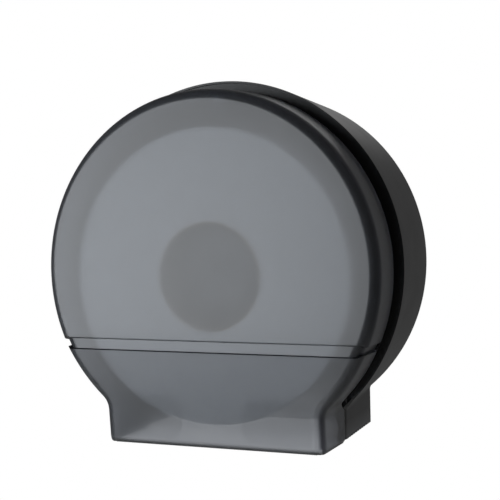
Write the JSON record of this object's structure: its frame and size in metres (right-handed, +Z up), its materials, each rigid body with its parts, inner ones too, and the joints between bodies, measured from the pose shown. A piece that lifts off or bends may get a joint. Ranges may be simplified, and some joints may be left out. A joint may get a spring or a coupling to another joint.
{
  "type": "jumbo toilet roll dispenser",
  "caption": "Wall-mounted jumbo toilet roll dispenser with a round black housing, a squared toothed chin and a smoked see-through cover that swings down.",
  "frame": {"origin": "on the wall face, at the centre of the four wall screw holes and of the spindle", "axes": "+X to the right seen from the front, +Y into the wall, +Z up"},
  "size_m": [0.2858, 0.13, 0.2795],
  "materials": {
    "housing_black": "black impact plastic, fine satin mould texture",
    "smoke_cover": "smoked translucent plastic, glossy outside and frosted inside",
    "spindle_black": "moulded black plastic",
    "nylon": "natural nylon",
    "zinc_steel": "zinc plated",
    "keeper_steel": "bare pressed steel",
    "lock_chrome": "satin chrome",
    "lock_brass": "turned brass",
    "core_card": "spiral wound grey-brown board",
    "tissue": "soft two-ply tissue"
  },
  "bodies": {
    "housing": {"rear_body": "housing_black", "spindle_post": "spindle_black", "spindle_screws": "zinc_steel", "thrust_washer": "nylon", "hub_cap": "spindle_black", "hub_cap_screw": "zinc_steel", "hinge_pin_left": "zinc_steel", "hinge_pin_right": "zinc_steel", "lock_barrel": "lock_chrome", "lock_washer": "zinc_steel", "lock_nut": "zinc_steel"},
    "cover": {"front_cover": "smoke_cover", "tear_strip": "smoke_cover", "keeper_bracket": "keeper_steel", "keeper_screws": "zinc_steel"},
    "roll": {"roll_core": "core_card", "paper_roll": "tissue"},
    "hub": {"core_hub": "spindle_black"},
    "lock": {"lock_plug": "lock_brass", "lock_cam": "keeper_steel", "cam_screw": "zinc_steel"}
  },
  "joints": [
    {"name": "cover_hinge", "type": "hinge", "parent": "housing", "child": "cover", "pos_m": [0, -0.082, -0.1308], "axis": [1, 0, 0], "range_deg": [0, 105]},
    {"name": "roll_spin", "type": "hinge", "parent": "housing", "child": "roll", "pos_m": [0, -0.07555, -0.0061], "axis": [0, 1, 0], "continuous": true},
    {"name": "hub_spin", "type": "hinge", "parent": "housing", "child": "hub", "pos_m": [0, -0.05, 0], "axis": [0, 1, 0], "continuous": true},
    {"name": "lock_turn", "type": "hinge", "parent": "housing", "child": "lock", "pos_m": [0, -0.068, 0.13], "axis": [0, 0, 1], "range_deg": [0, 90]}
  ],
  "couplings": [
    {"joint": "hub_spin", "follows": "roll_spin", "ratio": 1.1877}
  ]
}
